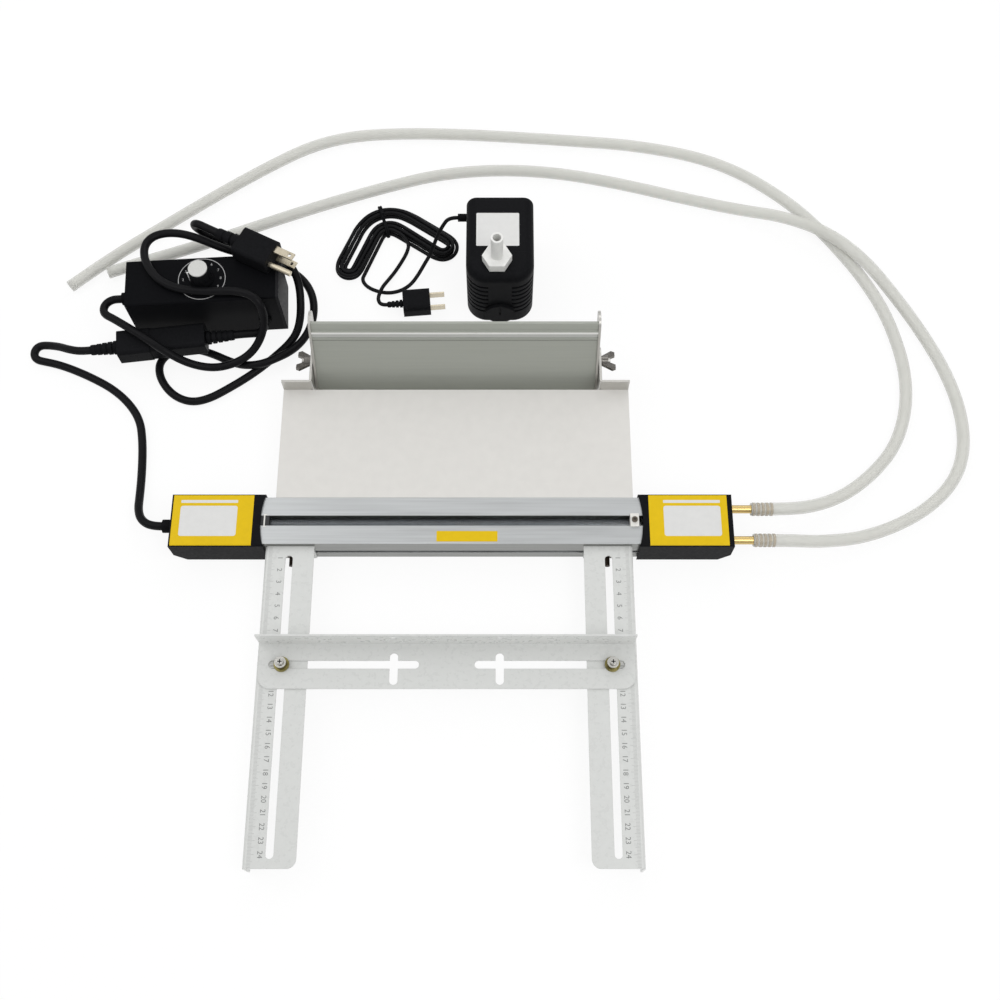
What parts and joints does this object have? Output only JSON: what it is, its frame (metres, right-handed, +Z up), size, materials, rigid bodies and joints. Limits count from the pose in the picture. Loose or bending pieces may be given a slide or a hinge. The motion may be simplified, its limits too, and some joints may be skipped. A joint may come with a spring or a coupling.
{
  "type": "acrylic sheet bending machine",
  "caption": "Table-top strip heater for folding plastic sheet: slotted aluminium heater bar with water-cooled edges, sliding stop fence, tilting rest, dial controller and circulation pump.",
  "frame": {"origin": "middle of the heater bar's underside, where it stands on the table", "axes": "+X along the heater bar towards its water pipes, +Y away from the operator towards the pump, +Z up"},
  "size_m": [0.8115, 0.677, 0.104],
  "materials": {
    "aluminium_bar": "natural extruded aluminium",
    "brass_pipe": "bright brass",
    "quartz": "clear quartz",
    "ceramic": "white ceramic",
    "dark_screw": "blackened steel",
    "black_plastic": "fine-grained moulded",
    "black_rubber": "matt",
    "bright_metal": "bright plated",
    "white_sheet": "white hammered powder coat",
    "bronze_bolt": "browned steel",
    "zinc_yellow": "yellow zinc plate",
    "white_board": "warm white laminate",
    "anodised_plate": "grey-green anodised",
    "black_metal": "black fine-textured paint",
    "dark_grey_metal": "dark grey paint",
    "silver_disc": "speckled silver",
    "plug_brass": "pale nickel-brass",
    "white_plastic": "white moulded",
    "heating_wire": "resistance wire",
    "cord_black": "smooth cord sheath",
    "silicone_hose": "translucent silicone"
  },
  "bodies": {
    "machine": {"heater_bar": "aluminium_bar", "quartz_tube": "quartz", "tube_clamp_right": "ceramic", "tube_clamp_left": "ceramic", "tube_clamp_screw": "dark_screw", "end_cap_right": "black_plastic", "end_cap_left": "black_plastic", "heater_gland": "black_rubber", "water_pipe_rear": "brass_pipe", "water_pipe_front": "brass_pipe", "work_board": "white_board", "angle_bracket_left": "bright_metal", "angle_bracket_right": "bright_metal", "bracket_screws": "dark_screw", "controller_case": "black_metal", "controller_end_left": "black_metal", "controller_end_right": "dark_grey_metal", "mains_gland": "black_rubber", "output_gland": "black_rubber", "potentiometer": "bright_metal", "coupler_plug": "black_plastic", "coupler_socket": "black_plastic", "mains_plug": "black_plastic", "mains_plug_pins": "plug_brass", "pump_plug": "black_plastic", "pump_plug_blades": "plug_brass", "pump_body": "black_plastic", "pump_cover": "black_plastic", "pump_nozzle": "white_plastic", "pump_gland": "black_rubber", "heating_coil": "heating_wire", "pump_hank": "cord_black", "mains_cord": "cord_black", "output_cord": "cord_black", "heater_cord": "cord_black", "pump_cord": "cord_black", "pump_lead": "cord_black", "hose_rear": "silicone_hose", "hose_front": "silicone_hose"},
    "left_arm": {"arm_left": "white_sheet", "arm_left_fixing": "bronze_bolt"},
    "right_arm": {"arm_right": "white_sheet", "arm_right_fixing": "bronze_bolt"},
    "fence_rail": {"fence": "white_sheet"},
    "left_clamp": {"fence_bolt_left": "bright_metal", "fence_washer_left": "zinc_yellow", "fence_nut_left": "bright_metal"},
    "right_clamp": {"fence_bolt_right": "bright_metal", "fence_washer_right": "zinc_yellow", "fence_nut_right": "bright_metal"},
    "tilt_rest": {"tilt_plate": "anodised_plate", "tilt_side_left": "bright_metal", "tilt_side_right": "bright_metal", "pivot_bolt_left": "bright_metal", "pivot_bolt_right": "bright_metal"},
    "left_wing_nut": {"wing_nut_left": "bright_metal"},
    "right_wing_nut": {"wing_nut_right": "bright_metal"},
    "heat_dial": {"dial_knob": "black_plastic", "knob_cap": "silver_disc"},
    "flow_control": {"flow_dial": "black_plastic"}
  },
  "joints": [
    {"name": "left_arm_slide", "type": "slide", "parent": "machine", "child": "left_arm", "axis": [1, 0, 0], "range_m": [0, 0.095]},
    {"name": "right_arm_slide", "type": "slide", "parent": "machine", "child": "right_arm", "axis": [1, 0, 0], "range_m": [-0.095, 0]},
    {"name": "fence_slide", "type": "slide", "parent": "machine", "child": "fence_rail", "axis": [0, 1, 0], "range_m": [-0.14, 0.078]},
    {"name": "left_clamp_slide", "type": "slide", "parent": "left_arm", "child": "left_clamp", "axis": [0, 1, 0], "range_m": [-0.14, 0.078]},
    {"name": "right_clamp_slide", "type": "slide", "parent": "right_arm", "child": "right_clamp", "axis": [0, 1, 0], "range_m": [-0.14, 0.078]},
    {"name": "rest_tilt", "type": "hinge", "parent": "machine", "child": "tilt_rest", "pos_m": [0.002, 0.142, 0.037], "axis": [1, 0, 0], "range_deg": [-14, 98]},
    {"name": "left_wing_nut_turn", "type": "hinge", "parent": "tilt_rest", "child": "left_wing_nut", "pos_m": [-0.126, 0.142, 0.037], "axis": [-1, 0, 0], "range_deg": [-180, 180]},
    {"name": "right_wing_nut_turn", "type": "hinge", "parent": "tilt_rest", "child": "right_wing_nut", "pos_m": [0.13, 0.142, 0.037], "axis": [1, 0, 0], "range_deg": [-180, 180]},
    {"name": "heat_dial_turn", "type": "hinge", "parent": "machine", "child": "heat_dial", "pos_m": [-0.2151, 0.2112, 0.063], "axis": [0, 0, 1], "range_deg": [-150, 150]},
    {"name": "flow_dial_turn", "type": "hinge", "parent": "machine", "child": "flow_control", "pos_m": [0.039, 0.203, 0.015], "axis": [0, 1, 0], "range_deg": [-135, 135]}
  ],
  "couplings": [
    {"joint": "left_clamp_slide", "follows": "fence_slide", "ratio": 1},
    {"joint": "right_clamp_slide", "follows": "fence_slide", "ratio": 1}
  ]
}
